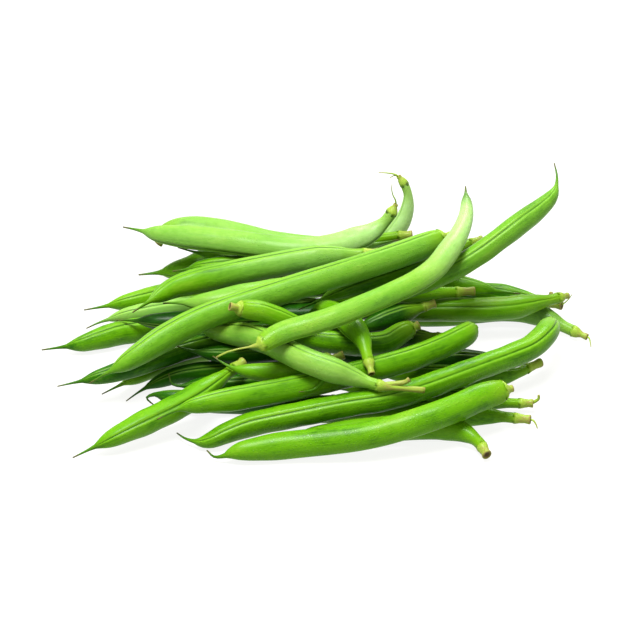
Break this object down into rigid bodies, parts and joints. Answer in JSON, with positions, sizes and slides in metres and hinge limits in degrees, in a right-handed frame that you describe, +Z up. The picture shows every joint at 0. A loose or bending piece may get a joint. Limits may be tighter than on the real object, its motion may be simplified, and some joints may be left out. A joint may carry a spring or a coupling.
{
  "type": "green bean bundle",
  "caption": "Loose heap of fresh green beans with their tails and stem ends, lying on a flat surface as one fixed bundle.",
  "frame": {"origin": "on the ground, under the middle of the heap's bounding box", "axes": "+X to the right along the heap, seen from the front, +Y to its back, +Z up"},
  "size_m": [0.1976, 0.1378, 0.0593],
  "materials": {
    "bean_skin": "moist fresh pod skin, satin, mottled light and mid green, with brown tips and cut stems"
  },
  "bodies": {
    "root": {"front_right": "bean_skin", "right_low_1": "bean_skin", "right_low_2": "bean_skin", "right_low_3": "bean_skin", "left_low_1": "bean_skin", "left_low_5": "bean_skin", "inside_low_1": "bean_skin", "inside_low_2": "bean_skin", "left_low_2": "bean_skin", "left_low_3": "bean_skin", "left_low_8": "bean_skin", "left_back_1": "bean_skin", "left_back_2": "bean_skin", "right_back_1": "bean_skin", "right_back_2": "bean_skin", "back_steep": "bean_skin", "front_left": "bean_skin", "front_long": "bean_skin", "middle_long": "bean_skin", "left_low_4": "bean_skin", "left_low_6": "bean_skin", "left_low_7": "bean_skin", "left_dark": "bean_skin", "right_wide": "bean_skin", "inside_2b": "bean_skin", "right_back_3": "bean_skin", "inside_2c": "bean_skin", "inside_2d": "bean_skin", "front_upper": "bean_skin", "small_front": "bean_skin", "right_short": "bean_skin", "right_stub": "bean_skin", "crossing": "bean_skin", "back_upper": "bean_skin", "back_top": "bean_skin", "left_upper_1": "bean_skin", "left_upper_2": "bean_skin", "under_top": "bean_skin", "inside_top": "bean_skin", "front_cross": "bean_skin", "right_high": "bean_skin", "top_long": "bean_skin", "top_curl": "bean_skin", "top_cross": "bean_skin"}
  },
  "joints": []
}
